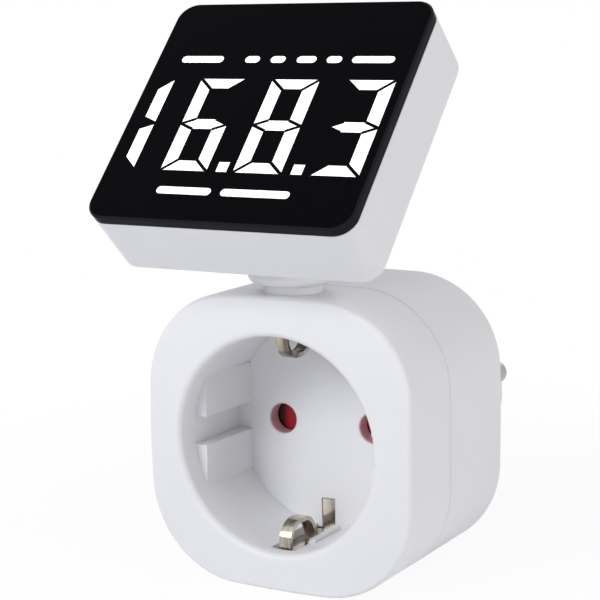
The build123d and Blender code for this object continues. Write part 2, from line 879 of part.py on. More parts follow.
# Film capacitor across the mains
with BuildPart() as film_capacitor:
    with BuildSketch(behind_front(board_depth)):
        with Locations(film_place):
            Rectangle(film_width, film_height)
    extrude(amount=board_depth - floor_back - film_gap)
    chamfer(film_capacitor.edges(), length=film_edge)
finish_part(film_capacitor, "film_capacitor")

# Smoothing capacitor: a can with its rolled groove
with BuildPart() as can_capacitor:
    with BuildSketch(behind_front(board_depth)):
        with Locations(can_place):
            Circle(can_radius)
    extrude(amount=board_depth - floor_back - can_gap)
    chamfer(can_capacitor.faces().sort_by(Axis.Y)[0].edges(), length=film_edge)
    with BuildSketch(behind_front(board_depth - can_groove_place)):
        with Locations(can_place):
            Circle(can_radius + overrun)
            Circle(can_radius - can_groove, mode=Mode.SUBTRACT)
    extrude(amount=can_groove_width, mode=Mode.SUBTRACT)
finish_part(can_capacitor, "can_capacitor")

# Surge disc on its two leads
with BuildPart() as surge_disc:
    disc_centre = board_depth - disc_lift - disc_radius
    with BuildSketch(plan_plane(disc_place[1] - disc_thick / 2)):
        with Locations((disc_place[0], disc_centre)):
            Circle(disc_radius)
    extrude(amount=disc_thick)
    chamfer(surge_disc.edges().filter_by(GeomType.CIRCLE), length=disc_edge)
    with BuildSketch(behind_front(board_depth)):
        for end in (-1, 1):
            with Locations((disc_place[0] + end * lead_pitch / 2, disc_place[1])):
                Circle(lead_radius)
    extrude(amount=disc_lift + disc_radius)
finish_part(surge_disc, "surge_disc")


def chip_sketch(place, size):
    # Outline of a chip's body with its legs along both long sides
    with BuildSketch() as legs:
        with Locations(place):
            with GridLocations(size[0] / chip_legs, size[1] + chip_leg_reach, chip_legs, 2):
                Rectangle(chip_leg_width, chip_leg_reach + chip_edge)
    return legs.sketch


# Metering chip
with BuildPart() as metering_chip:
    with BuildSketch(behind_front(board_depth - chip_lift)):
        with Locations(chip_place):
            Rectangle(chip_size[0], chip_size[1])
    extrude(amount=chip_size[2])
    chamfer(metering_chip.faces().sort_by(Axis.Y)[0].edges(), length=chip_edge)
    with BuildSketch(behind_front(board_depth)):
        add(chip_sketch(chip_place, chip_size))
    extrude(amount=chip_leg_thick)
finish_part(metering_chip, "metering_chip")

# Plug of the display lead on the main board
lead_seat = math.sqrt((cup_radius + lead_clear + lead_thick / 2) ** 2 - lead_place**2)
with BuildPart() as board_plug:
    with BuildSketch(behind_front(board_depth)):
        with Locations((lead_place, lead_seat)):
            Rectangle(plug_box[0], plug_box[1])
    extrude(amount=plug_box[2])
    chamfer(board_plug.faces().sort_by(Axis.Y)[0].edges(), length=plug_box_edge)
finish_part(board_plug, "board_plug")


def lead_ring(low_angle, high_angle):
    # Band that hugs the outside of the recess cup between two angles from upright
    inner = cup_radius + lead_clear
    outer = inner + lead_thick
    middle = (low_angle + high_angle) / 2

    def place(radius, angle):
        return (radius * math.sin(math.radians(angle)), radius * math.cos(math.radians(angle)))

    with BuildSketch() as ring:
        with BuildLine():
            ThreePointArc(place(inner, low_angle), place(inner, middle), place(inner, high_angle))
            Line(place(inner, high_angle), place(outer, high_angle))
            ThreePointArc(place(outer, high_angle), place(outer, middle), place(outer, low_angle))
            Line(place(outer, low_angle), place(inner, low_angle))
        make_face()
    return ring.sketch


# Flat lead over the recess cup, from under the neck to the board
with BuildPart() as display_lead:
    lead_angle = math.degrees(math.asin(lead_place / cup_radius))
    lead_spread = math.degrees(math.asin(lead_half / cup_radius))
    with BuildSketch(behind_front(neck_depth - lead_half)):
        add(lead_ring(-lead_spread, lead_angle + lead_spread))
    extrude(amount=-2 * lead_half)
    with BuildSketch(behind_front(neck_depth)):
        add(lead_ring(lead_angle - lead_spread, lead_angle + lead_spread))
    extrude(amount=-(board_depth - plug_box[2] - neck_depth))
finish_part(display_lead, "display_lead")

# Neck: post that swivels in the front shell, round turret and two hinge cheeks
with BuildPart() as neck:
    with BuildSketch(plan_plane(turret_bottom)):
        with Locations((0, neck_depth)):
            Circle(turret_radius)
    extrude(amount=turret_thick)
    fillet(neck.faces().sort_by(Axis.Z)[0].edges(), radius=turret_round)
    chamfer(neck.faces().sort_by(Axis.Z)[-1].edges(), length=turret_top_edge)
    with BuildSketch(plan_plane(body_top - side_wall - neck_end_drop)):
        with Locations((0, neck_depth)):
            Circle(neck_radius)
    extrude(amount=side_wall + neck_end_drop + neck_lift + turret_thick / 2)
    for side in (-1, 1):
        with BuildSketch(side_plane(side * (cheek_inner + cheek_outer) / 2)):
            with Locations((neck_depth, hinge_height)):
                Circle(hinge_radius)
            with Locations((neck_depth, (turret_bottom + turret_round + hinge_height) / 2)):
                Rectangle(2 * hinge_radius, hinge_height - turret_bottom - turret_round)
        extrude(amount=(cheek_outer - cheek_inner) / 2, both=True)
    with BuildSketch(side_plane()):
        with Locations((neck_depth, hinge_height)):
            Circle(hinge_pin_radius + hinge_pin_gap)
    extrude(amount=cheek_outer + overrun, both=True, mode=Mode.SUBTRACT)
    groove_top = body_top - side_wall - groove_top_drop
    with BuildSketch(plan_plane(groove_top - groove_height)):
        with Locations((0, neck_depth)):
            Circle(neck_radius + overrun)
            Circle(groove_radius, mode=Mode.SUBTRACT)
    extrude(amount=groove_height, mode=Mode.SUBTRACT)
    with BuildSketch(plan_plane(body_top - side_wall - neck_end_drop)):
        with Locations((0, neck_depth)):
            Circle(neck_bore)
    extrude(amount=turret_top + overrun, mode=Mode.SUBTRACT)
finish_part(neck, "neck")

# Friction washer and snap clip that hold the neck from inside
with BuildPart() as neck_washer:
    with BuildSketch(plan_plane(groove_top + clip_gap)):
        with Locations((0, neck_depth)):
            Circle(washer_radius)
            Circle(neck_radius + clip_gap, mode=Mode.SUBTRACT)
    extrude(amount=washer_thick)
finish_part(neck_washer, "neck_washer")

with BuildPart() as neck_clip:
    with BuildSketch(plan_plane(groove_top - groove_height + clip_gap)):
        with Locations((0, neck_depth)):
            Circle(clip_radius)
        with Locations((0, neck_depth + clip_lug_reach / 2)):
            Rectangle(2 * clip_lug_half, clip_lug_reach)
        with Locations((0, neck_depth)):
            Circle(groove_radius + clip_gap, mode=Mode.SUBTRACT)
        with Locations((0, neck_depth - clip_radius / 2 - clip_gap)):
            Rectangle(clip_opening, clip_radius, mode=Mode.SUBTRACT)
    extrude(amount=groove_height - 2 * clip_gap)
finish_part(neck_clip, "neck_clip")

# Hinge axis and the display head's own directions at rest
hinge_axis = Vector(0, neck_y, hinge_height)
head_normal = Vector(0, -math.cos(rest_angle), math.sin(rest_angle))
head_up = Vector(0, math.sin(rest_angle), math.cos(rest_angle))
head_back = hinge_axis + head_normal * hinge_reach + head_up * (head_half_height - hinge_drop)
axis_v = hinge_drop - head_half_height


def head_plane(inset):
    # Plane parallel to the display, at this depth behind its face; local y runs up the face
    origin = head_back + head_normal * (head_depth - inset)
    return Plane(origin=origin, x_dir=(1, 0, 0), z_dir=head_normal)


def head_side(across):
    # Plane across the head at the hinge, whose local x runs up the face and local y outwards
    return Plane(origin=hinge_axis + Vector(across, 0, 0), x_dir=head_up, z_dir=(1, 0, 0))


head_posts = corner_places(head_half_width - head_post_inset, head_half_height - head_post_inset)
block_front = window_thick + window_step + window_seam
block_back = block_front + block_thick
display_board_back = block_back + display_board_thick

# Head shell: open tub with the hinge ears on its back
with BuildPart() as head_shell:
    with BuildSketch(head_plane(head_depth)):
        RectangleRounded(2 * head_half_width, 2 * head_half_height, head_corner)
    extrude(amount=head_depth - window_thick - window_seam)
    back_face = head_shell.faces().sort_by(Axis(head_back, head_normal))[0]
    fillet(back_face.edges(), radius=head_back_edge)
    with BuildSketch(head_plane(head_depth - head_wall)):
        RectangleRounded(
            2 * (head_half_width - head_side_wall),
            2 * (head_half_height - head_side_wall),
            head_corner - head_side_wall,
        )
    extrude(amount=head_depth, mode=Mode.SUBTRACT)
    # Posts that the display board is screwed to
    with BuildSketch(head_plane(head_depth - head_wall)):
        with Locations(*head_posts):
            Circle(head_post_radius)
    extrude(amount=head_depth - head_wall - display_board_back)
    with BuildSketch(head_plane(display_board_back)):
        with Locations(*head_posts):
            Circle(head_screw_radius + thread_gap)
    extrude(amount=-(head_depth - head_wall - display_board_back), mode=Mode.SUBTRACT)
    # Hinge ears, each a rounded lug that flares into the back wall
    for side in (-1, 1):
        with BuildSketch(head_side(side * (ear_inner + ear_outer) / 2)):
            Circle(hinge_radius)
            with BuildLine():
                Polyline(
                    (-hinge_radius, 0),
                    (hinge_radius, 0),
                    (hinge_radius, hinge_reach - ear_flare),
                    (hinge_radius + ear_flare, hinge_reach + head_wall / 2),
                    (-hinge_radius - ear_flare, hinge_reach + head_wall / 2),
                    (-hinge_radius, hinge_reach - ear_flare),
                    close=True,
                )
            make_face()
        extrude(amount=(ear_outer - ear_inner) / 2, both=True)
    with BuildSketch(head_side(0)):
        Circle(hinge_pin_radius + hinge_pin_gap)
    extrude(amount=ear_outer + overrun, both=True, mode=Mode.SUBTRACT)
    # Openings for the lead and the button
    with BuildSketch(head_plane(head_depth)):
        with Locations((0, axis_v)):
            Rectangle(2 * lead_slot_half, 2 * lead_slot_height)
        with Locations(button_place):
            Circle(button_radius + button_gap)
    extrude(amount=head_wall, mode=Mode.SUBTRACT)
finish_part(head_shell, "head_shell")

# Hinge pins, one through each pair of cheek and ear
with BuildPart() as hinge_pins:
    for side in (-1, 1):
        with BuildSketch(head_side(side * (cheek_inner + ear_outer) / 2)):
            Circle(hinge_pin_radius)
        extrude(amount=(ear_outer - cheek_inner) / 2, both=True)
        with BuildSketch(head_side(side * (ear_outer + hinge_head_thick / 2))):
            Circle(hinge_head_radius)
        extrude(amount=hinge_head_thick / 2, both=True)
finish_part(hinge_pins, "hinge_pins")


def digit_cell():
    # The seven bars of one digit, with a mitred gap wherever two of them meet
    half_width = digit_width / 2
    half_height = digit_height / 2
    hole_height = half_height - 1.5 * bar_height
    corner_turn = math.degrees(math.atan2(bar_height, bar_width))
    middle_turn = math.degrees(math.atan2(bar_height / 2, bar_width))
    with BuildSketch() as cell:
        Rectangle(digit_width, digit_height)
        with Locations((0, (hole_height + bar_height) / 2), (0, -(hole_height + bar_height) / 2)):
            Rectangle(digit_width - 2 * bar_width, hole_height, mode=Mode.SUBTRACT)
        for across in (-1, 1):
            for up in (-1, 1):
                with Locations(Location((across * half_width, up * half_height), across * up * corner_turn)):
                    Rectangle(3 * bar_width, bar_gap, mode=Mode.SUBTRACT)
                with Locations(Location((across * half_width, 0), -across * up * middle_turn)):
                    Rectangle(2.2 * bar_width, bar_gap, mode=Mode.SUBTRACT)
    return cell.sketch


def digit_bars():
    # Each bar of one digit: its outline, and whether it belongs to the right-hand upright
    tall = (digit_height - bar_height) / 4
    across = (digit_width - bar_width) / 2
    places = [(x, y) for x in (-across, across) for y in (-tall, tall)]
    places += [(0, y) for y in (-2 * tall, 0, 2 * tall)]
    faces = digit_cell().faces()
    return [(min(faces, key=lambda face: (face.center() - Vector(x, y, 0)).length), x > 0) for x, y in places]


def digit_sketch(lit):
    # Three full digits, the half digit before them and two points; some bars stay dark
    first = digit_centre - 2 * digit_pitch
    bars = digit_bars()
    with BuildSketch() as digits:
        for place in range(4):
            centre = first + place * digit_pitch
            for bar, (outline, upright) in enumerate(bars):
                if place == 0 and not upright:
                    continue
                if (bar in dark_bars[place]) == lit:
                    continue
                step = half_digit_step if place == 0 else 0
                with Locations((centre - step, digit_middle)):
                    add(outline)
            if lit and place in (1, 2):
                dot_y = digit_middle - digit_height / 2 + dot_size / 2
                with Locations((centre + digit_width / 2 + dot_after + dot_size / 2, dot_y)):
                    Rectangle(dot_size, dot_size)
    return digits.sketch


def lamp_sketch():
    # Two rows of plain lamps, each a slot of its own length
    rows = [(lamp_row_share, upper_lamp_shares, upper_length_shares)]
    rows += [(low_lamp_row_share, lower_lamp_shares, lower_length_shares)]
    with BuildSketch() as lamps:
        for height, places, lengths in rows:
            for place, length in zip(places, lengths):
                with Locations((place * head_half_width, height * head_half_height)):
                    SlotOverall(length * lamp_width, lamp_height)
    return lamps.sketch


# Light guides of the digits, from the light block to the window's face
with BuildPart() as digit_guides:
    with BuildSketch(head_plane(0)):
        add(digit_sketch(True))
    extrude(amount=-(block_front + bar_depth))
finish_part(digit_guides, "digit_guides")

with BuildPart() as dark_guides:
    with BuildSketch(head_plane(0)):
        add(digit_sketch(False))
    extrude(amount=-(block_front + bar_depth))
finish_part(dark_guides, "dark_guides")

with BuildPart() as lamp_guides:
    with BuildSketch(head_plane(0)):
        add(lamp_sketch())
    extrude(amount=-(block_front + bar_depth))
finish_part(lamp_guides, "lamp_guides")

# Black front window with a slot for each guide and a step that locates it in the shell
with BuildPart() as display_window:
    with BuildSketch(head_plane(window_thick)):
        RectangleRounded(2 * head_half_width, 2 * head_half_height, head_corner)
    extrude(amount=window_thick)
    front_face = display_window.faces().sort_by(Axis(head_back, head_normal))[-1]
    chamfer(front_face.edges(), length=window_edge)
    step_inset = head_side_wall + window_step_gap
    with BuildSketch(head_plane(window_thick)):
        RectangleRounded(
            2 * (head_half_width - step_inset), 2 * (head_half_height - step_inset), head_corner - step_inset
        )
    extrude(amount=-window_step)
    for guides in (digit_guides, dark_guides, lamp_guides):
        add(guides.part, mode=Mode.SUBTRACT)
finish_part(display_window, "display_window")

# Light block with a pocket for each guide
with BuildPart() as light_block:
    with BuildSketch(head_plane(block_front)):
        with Locations((0, (block_low_inset - block_top_inset) / 2)):
            RectangleRounded(
                2 * (head_half_width - head_side_wall - block_gap),
                2 * head_half_height - block_top_inset - block_low_inset,
                block_edge,
            )
        with Locations(*head_posts):
            Circle(head_screw_head_radius + screw_gap, mode=Mode.SUBTRACT)
    extrude(amount=-block_thick)
    for guides in (digit_guides, dark_guides, lamp_guides):
        add(guides.part, mode=Mode.SUBTRACT)
finish_part(light_block, "light_block")

# Display board behind the light block
with BuildPart() as display_board:
    with BuildSketch(head_plane(block_back)):
        RectangleRounded(
            2 * (head_half_width - head_side_wall - display_board_gap),
            2 * (head_half_height - head_side_wall - display_board_gap),
            display_board_corner,
        )
        with Locations(*head_posts):
            Circle(head_screw_radius + screw_gap, mode=Mode.SUBTRACT)
    extrude(amount=-display_board_thick)
finish_part(display_board, "display_board")

with BuildPart() as head_screws:
    with BuildSketch(head_plane(block_back)):
        with Locations(*head_posts):
            Circle(head_screw_head_radius)
    extrude(amount=head_screw_head_height)
    with BuildSketch(head_plane(block_back)):
        with Locations(*head_posts):
            Circle(head_screw_radius)
    extrude(amount=-min(head_screw_length, head_depth - head_wall - block_back))
finish_part(head_screws, "head_screws")

# Driver chip, lead socket and push switch on the back of the display board
with BuildPart() as driver_chip:
    with BuildSketch(head_plane(display_board_back + chip_lift)):
        with Locations(driver_place):
            Rectangle(driver_size[0], driver_size[1])
    extrude(amount=-driver_size[2])
    with BuildSketch(head_plane(display_board_back)):
        add(chip_sketch(driver_place, driver_size))
    extrude(amount=-chip_leg_thick)
finish_part(driver_chip, "driver_chip")

with BuildPart() as lead_socket:
    with BuildSketch(head_plane(display_board_back)):
        with Locations((0, axis_v)):
            Rectangle(socket_size[0], socket_size[1])
    extrude(amount=-socket_size[2])
    with BuildSketch(head_plane(display_board_back + socket_size[2])):
        with Locations((0, axis_v)):
            Rectangle(2 * lead_half + 2 * screw_gap, head_lead_thick + 2 * screw_gap)
    extrude(amount=socket_size[2] / 2, mode=Mode.SUBTRACT)
finish_part(lead_socket, "lead_socket")

# Push switch, whose stem stands just short of the pressed button's foot
button_foot = head_depth - head_wall - button_seat_gap - button_flange_thick
with BuildPart() as push_switch:
    with BuildSketch(head_plane(display_board_back)):
        with Locations(button_place):
            Rectangle(switch_size[0], switch_size[1])
    extrude(amount=-switch_size[2])
    with BuildSketch(head_plane(display_board_back)):
        with Locations(button_place):
            Circle(switch_stem_radius)
    extrude(amount=-(button_foot - button_travel - switch_stem_gap - display_board_back))
finish_part(push_switch, "push_switch")

with BuildPart() as function_button:
    with BuildSketch(head_plane(head_depth + button_proud)):
        with Locations(button_place):
            Circle(button_radius)
    extrude(amount=button_proud + head_depth - button_foot)
    outer_face = function_button.faces().sort_by(Axis(head_back, head_normal))[0]
    chamfer(outer_face.edges(), length=button_edge)
    with BuildSketch(head_plane(button_foot)):
        with Locations(button_place):
            Circle(button_flange)
    extrude(amount=-button_flange_thick)
finish_part(function_button, "function_button")

# Flat lead through the neck's bore, and its far end in the head
with BuildPart() as neck_lead:
    with BuildSketch(plan_plane(cup_radius + lead_clear + lead_thick + lead_clear)):
        with Locations((0, neck_depth)):
            Rectangle(2 * lead_half, head_lead_thick)
    extrude(amount=hinge_height - lead_axis_gap - cup_radius - 2 * lead_clear - lead_thick)
finish_part(neck_lead, "neck_lead")

with BuildPart() as head_lead:
    with BuildSketch(head_plane(head_depth + hinge_reach - lead_axis_gap)):
        with Locations((0, axis_v)):
            Rectangle(2 * lead_half, head_lead_thick)
    extrude(amount=hinge_reach - lead_axis_gap + head_depth - display_board_back - socket_size[2] + screw_gap)
finish_part(head_lead, "head_lead")
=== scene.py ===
# Plug-in energy monitor: finishes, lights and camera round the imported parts, in metres
import math

import bmesh
import bpy
from mathutils import Matrix, Vector


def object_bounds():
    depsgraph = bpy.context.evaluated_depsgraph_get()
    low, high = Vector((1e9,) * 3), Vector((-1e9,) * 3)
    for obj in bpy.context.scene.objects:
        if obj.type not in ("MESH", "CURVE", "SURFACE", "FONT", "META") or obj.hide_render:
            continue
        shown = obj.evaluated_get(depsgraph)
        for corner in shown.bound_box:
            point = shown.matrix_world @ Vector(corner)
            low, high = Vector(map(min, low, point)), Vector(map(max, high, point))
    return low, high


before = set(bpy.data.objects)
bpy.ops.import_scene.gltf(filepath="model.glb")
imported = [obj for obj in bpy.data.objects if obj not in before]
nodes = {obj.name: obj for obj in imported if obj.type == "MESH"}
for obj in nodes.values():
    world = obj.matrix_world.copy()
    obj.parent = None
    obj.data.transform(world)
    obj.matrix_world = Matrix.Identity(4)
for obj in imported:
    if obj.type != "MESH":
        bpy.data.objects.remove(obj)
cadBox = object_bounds()
print("frame loaded:", len(nodes), "nodes")

rising = (0.0, 1.0)
falling = (1.0, 0.0)
white = (1.0, 1.0, 1.0)


# Shader trees: each input of a new node is a plain value or a link from another node
def newMaterial(name):
    material = bpy.data.materials.new(name)
    material.use_nodes = True
    material.node_tree.nodes.clear()
    return material, material.node_tree


def addNode(tree, kind, inputs=None, settings=None):
    node = tree.nodes.new("ShaderNode" + kind)
    for key, value in (settings or {}).items():
        setattr(node, key, value)
    for key, value in (inputs or {}).items():
        if isinstance(value, bpy.types.NodeSocket):
            tree.links.new(value, node.inputs[key])
        else:
            node.inputs[key].default_value = value
    return node


def closeMaterial(tree, shader):
    addNode(tree, "OutputMaterial", {"Surface": shader.outputs[0]})


def calculate(tree, operation, *numbers):
    node = addNode(tree, "Math", dict(enumerate(numbers)), {"operation": operation})
    return node.outputs["Value"]


def measure(tree, operation, *vectors):  # a number from one or two vectors
    node = addNode(tree, "VectorMath", dict(enumerate(vectors)), {"operation": operation})
    return node.outputs["Value"]


def remap(tree, source, before, after, kind="LINEAR"):
    inputs = {
        "Value": source,
        "From Min": before[0],
        "From Max": before[1],
        "To Min": after[0],
        "To Max": after[1],
    }
    return addNode(tree, "MapRange", inputs, {"interpolation_type": kind}).outputs["Result"]


def opaque(colour):
    return (*colour, 1.0)


def mixColour(tree, factor, first, second):
    inputs = {"Factor": factor, "A": first, "B": second}
    return addNode(tree, "Mix", inputs, {"data_type": "RGBA"}).outputs["Result"]


def twoTones(tree, factor, look):
    return mixColour(tree, factor, opaque(look["colour"]), opaque(look["shade"]))


# Patterns over object coordinates
noiseReach = (0.3, 0.7)  # most of a noise texture lies between these
evenDetail = 2.0
evenStretch = (1, 1, 1)


def objectPlace(tree):
    return addNode(tree, "TexCoord").outputs["Object"]


def grain(tree, scale, detail=evenDetail, stretch=evenStretch):
    mapping = addNode(tree, "Mapping", {"Vector": objectPlace(tree), "Scale": stretch})
    inputs = {"Vector": mapping.outputs["Vector"], "Scale": scale, "Detail": detail}
    return addNode(tree, "TexNoise", inputs).outputs["Fac"]


def polish(tree, pattern, look):  # roughness that follows a pattern
    return remap(tree, pattern, noiseReach, (look["smooth"], look["rough"]))


def relief(tree, look, inputs):  # normal raised by a pattern
    heights = {"Strength": look["bump"], "Distance": look["depth"]}
    return addNode(tree, "Bump", {**heights, **inputs}).outputs["Normal"]


def roundedNormal(tree, radius, samples):  # normal that turns softly over an edge
    return addNode(tree, "Bevel", {"Radius": radius}, {"samples": samples}).outputs["Normal"]


def fromMiddle(tree):  # place on the object, with its distance from the middle plane
    place = addNode(tree, "SeparateXYZ", {"Vector": objectPlace(tree)})
    return calculate(tree, "ABSOLUTE", place.outputs["X"]), place.outputs["Y"], place.outputs["Z"]


def shadedSide(tree, tone, shadow):  # deep shade on the outer side of what each pin hole shows
    across, _, _ = fromMiddle(tree)
    factor = remap(tree, across, (shadow["from"], shadow["to"]), (0.0, shadow["most"]), "SMOOTHSTEP")
    return mixColour(tree, factor, tone, opaque(shadow["colour"]))


def paintRedBounce(tree, tone, redBounce):  # painted reflection: red light bounced from the shutter, painted into the walls of the two pin holes
    across, depth, height = fromMiddle(tree)
    place = addNode(tree, "CombineXYZ", {"X": across, "Z": height}).outputs["Vector"]
    reach = measure(tree, "DISTANCE", place, (redBounce["spacing"], 0, 0))
    near = calculate(tree, "LESS_THAN", reach, redBounce["radius"])
    deep = remap(tree, depth, (redBounce["front"], redBounce["back"]), (0.0, redBounce["most"]))
    return mixColour(tree, calculate(tree, "MULTIPLY", near, deep), tone, opaque(redBounce["colour"]))


# Moulded plastic: a fine spark-eroded texture, soft sheen and slight tone changes
def mouldedPlastic(name, look):
    material, tree = newMaterial(name)
    fine = grain(tree, look["grainScale"], look["grainDetail"])
    tone = twoTones(tree, grain(tree, look["toneScale"]), look)
    # painted reflection of the shutter's red in the pin hole walls, on the front shell only
    if "holeRedBounce" in look:
        tone = paintRedBounce(tree, tone, look["holeRedBounce"])
    if "shadow" in look:
        tone = shadedSide(tree, tone, look["shadow"])
    soft = roundedNormal(tree, look["edgeRound"], look["edgeSamples"])  # moulded edges are never knife sharp
    inputs = {
        "Base Color": tone,
        "Roughness": polish(tree, fine, look),
        "IOR": look["ior"],
        "Specular IOR Level": look["specular"],
        "Subsurface Weight": look["depthGlow"],
        "Subsurface Radius": look["glowReach"],
        "Subsurface Scale": look["glowScale"],
        "Normal": relief(tree, look, {"Height": fine, "Normal": soft}),
    }
    closeMaterial(tree, addNode(tree, "BsdfPrincipled", inputs))
    return material


# Plated and bare metal: fine drawn lines along one axis over stretched bands of two tones, slight tone
# changes on most metals and painted reflections on the nickel, where the dark bands stand in for dark
# surroundings mirrored in the metal
def drawnMetal(name, look):
    material, tree = newMaterial(name)
    lines = grain(tree, look["lineScale"], stretch=look["stretch"])
    # stretched bands between colour and shade: painted reflection on the nickel, slight tone changes
    # elsewhere
    cloud = grain(tree, look["cloudScale"], stretch=look["toneAndReflectionStretch"])
    inputs = {
        "Metallic": look["metallic"],
        "Base Color": twoTones(tree, remap(tree, cloud, noiseReach, rising), look),
        "Roughness": polish(tree, lines, look),
        "Normal": relief(tree, look, {"Height": lines}),
    }
    closeMaterial(tree, addNode(tree, "BsdfPrincipled", inputs))
    return material


# Black window: polished face with faint wipe marks, and edges painted paler as a painted highlight standing
# in for light reflected off the moulded edge chamfers
def polishedWindow(name, look):
    material, tree = newMaterial(name)
    wipe = grain(tree, look["wipeScale"], look["wipeDetail"], look["wipeStretch"])
    facing = measure(tree, "DOT_PRODUCT", addNode(tree, "TexCoord").outputs["Normal"], look["ahead"])
    # painted highlight on the edges, where the face turns away from straight ahead
    edge = remap(tree, facing, look["edgeFacing"], falling)
    inputs = {
        "Base Color": mixColour(tree, edge, twoTones(tree, wipe, look), opaque(look["paintedEdgeSheen"])),
        "Roughness": polish(tree, wipe, look),
        "IOR": look["ior"],
        "Specular IOR Level": look["specular"],
    }
    closeMaterial(tree, addNode(tree, "BsdfPrincipled", inputs))
    return material


# Lit guide: even white light with a slight fall-off, dim along its edges
def litGuide(name, look):
    material, tree = newMaterial(name)
    cloud = grain(tree, look["cloudScale"])
    rounded = roundedNormal(tree, look["rim"], look["rimSamples"])
    flatness = measure(tree, "DOT_PRODUCT", rounded, addNode(tree, "NewGeometry").outputs["Normal"])
    rim = remap(tree, flatness, look["rimFlatness"], falling)
    dim = opaque(look["rimColour"])
    light = mixColour(tree, cloud, opaque(look["light"]), opaque(look["lightShade"]))
    inputs = {
        "Base Color": mixColour(tree, rim, twoTones(tree, cloud, look), dim),
        "Roughness": look["roughness"],
        "Emission Color": mixColour(tree, rim, light, dim),
        "Emission Strength": look["strength"],
    }
    closeMaterial(tree, addNode(tree, "BsdfPrincipled", inputs))
    return material


# White plastic of the body, neck, head and button
shellLook = {
    "colour": (0.855, 0.857, 0.866),
    "shade": (0.828, 0.83, 0.84),
    "grainScale": 5200,
    "grainDetail": 3.0,
    "toneScale": 60,
    "bump": 0.12,
    "depth": 0.00003,
    "smooth": 0.36,
    "rough": 0.48,
    "ior": 1.5,
    "specular": 0.42,
    "depthGlow": 0.15,
    "glowReach": (0.0012, 0.001, 0.0009),
    "glowScale": 1.0,
    "edgeRound": 0.0003,
    "edgeSamples": 6,
}
shellFinish = mouldedPlastic("shellPlastic", shellLook)
# painted reflection: where and how strongly the shutter's red bounce is painted into the pin hole walls
holeRedBounce = {
    "spacing": 0.0095,
    "radius": 0.00308,
    "front": -0.03909,
    "back": -0.03885,
    "most": 0.6,
    "colour": (0.62, 0.2, 0.27),
}
frontFinish = mouldedPlastic("frontPlastic", {**shellLook, "holeRedBounce": holeRedBounce})
buttonLook = {**shellLook, "smooth": 0.3, "rough": 0.4, "grainScale": 8000}
buttonFinish = mouldedPlastic("buttonPlastic", buttonLook)
neckFinish = mouldedPlastic("neckPlastic", {**shellLook, "grainScale": 6500, "rough": 0.44})

# Other plastics: solid colours without the white plastic's depth
solidLook = {**shellLook, "depthGlow": 0}
carrierLook = {**solidLook, "colour": (0.72, 0.72, 0.69), "shade": (0.66, 0.66, 0.63)}
carrierFinish = mouldedPlastic("carrierPlastic", carrierLook)
blockLook = {**solidLook, "colour": (0.012, 0.012, 0.013), "shade": (0.02, 0.02, 0.021)}
blockFinish = mouldedPlastic("blockPlastic", blockLook)
shutterLook = {
    **solidLook,
    "colour": (0.62, 0.008, 0.03),
    "shade": (0.36, 0.004, 0.014),
    "toneScale": 900,
    "grainScale": 7000,
    "shadow": {"from": 0.0098, "to": 0.0114, "most": 0.96, "colour": (0.03, 0.004, 0.004)},
}
shutterFinish = mouldedPlastic("shutterPlastic", shutterLook)
boardLook = {**solidLook, "colour": (0.01, 0.12, 0.05), "shade": (0.02, 0.2, 0.08), "toneScale": 1200}
boardFinish = mouldedPlastic("boardMask", boardLook)
filmLook = {**solidLook, "colour": (0.68, 0.5, 0.06), "shade": (0.6, 0.44, 0.05)}
filmFinish = mouldedPlastic("filmBox", filmLook)
discLook = {**solidLook, "colour": (0.03, 0.1, 0.36), "shade": (0.04, 0.13, 0.42)}
discFinish = mouldedPlastic("discCoat", discLook)
leadLook = {**solidLook, "colour": (0.5, 0.5, 0.52), "shade": (0.44, 0.44, 0.46)}
leadFinish = mouldedPlastic("leadJacket", leadLook)

# Display: black window and the lit guides in it
faceTilt = math.radians(43)  # the face leans back by this from upright
windowLook = {
    "colour": (0.0022, 0.0018, 0.0026),
    "shade": (0.0032, 0.0026, 0.0038),
    "wipeScale": 90,
    "wipeDetail": 4.0,
    "wipeStretch": (1, 0.25, 0.25),
    "smooth": 0.06,
    "rough": 0.12,
    "ior": 1.49,
    "specular": 0.02,
    # painted highlight: colour of the edges, paler than the face
    "paintedEdgeSheen": (0.017, 0.016, 0.019),
    "edgeFacing": (0.8, 1.0),
    "ahead": (0, -math.cos(faceTilt), math.sin(faceTilt)),
}
windowFinish = polishedWindow("windowGloss", windowLook)
digitLook = {
    "colour": (0.9, 0.9, 0.9),
    "shade": (0.85, 0.85, 0.87),
    "light": (1.0, 1.0, 1.0),
    "lightShade": (0.96, 0.97, 1.0),
    "cloudScale": 300,
    "roughness": 0.5,
    "strength": 1.1,
    "rim": 0.00021,
    "rimSamples": 8,
    "rimFlatness": (0.93, 0.995),
    "rimColour": (0.004, 0.004, 0.005),
}
digitFinish = litGuide("litGuide", digitLook)

# Metals
nickelLook = {
    "metallic": 1.0,
    "colour": (0.75, 0.69, 0.6),
    # painted reflection: dark colour of the bands that stand in for dark surroundings mirrored in the nickel
    "shade": (0.15, 0.115, 0.095),
    "lineScale": 2400,
    "stretch": (1.0, 0.08, 0.4),
    "cloudScale": 480,
    "toneAndReflectionStretch": (1.0, 0.6, 0.12),
    "bump": 0.15,
    "depth": 0.00001,
    "smooth": 0.1,
    "rough": 0.22,
}
nickelFinish = drawnMetal("nickelPlate", nickelLook)
pinLook = {**nickelLook, "colour": (0.5, 0.485, 0.46), "shade": (0.41, 0.395, 0.375), "cloudScale": 160}
pinFinish = drawnMetal("pinPlate", pinLook)
brassLook = {**nickelLook, "colour": (0.78, 0.57, 0.25), "shade": (0.68, 0.48, 0.2)}
brassFinish = drawnMetal("contactBrass", brassLook)
steelLook = {
    **nickelLook,
    "colour": (0.48, 0.48, 0.49),
    "shade": (0.38, 0.38, 0.4),
    "smooth": 0.25,
    "rough": 0.4,
}
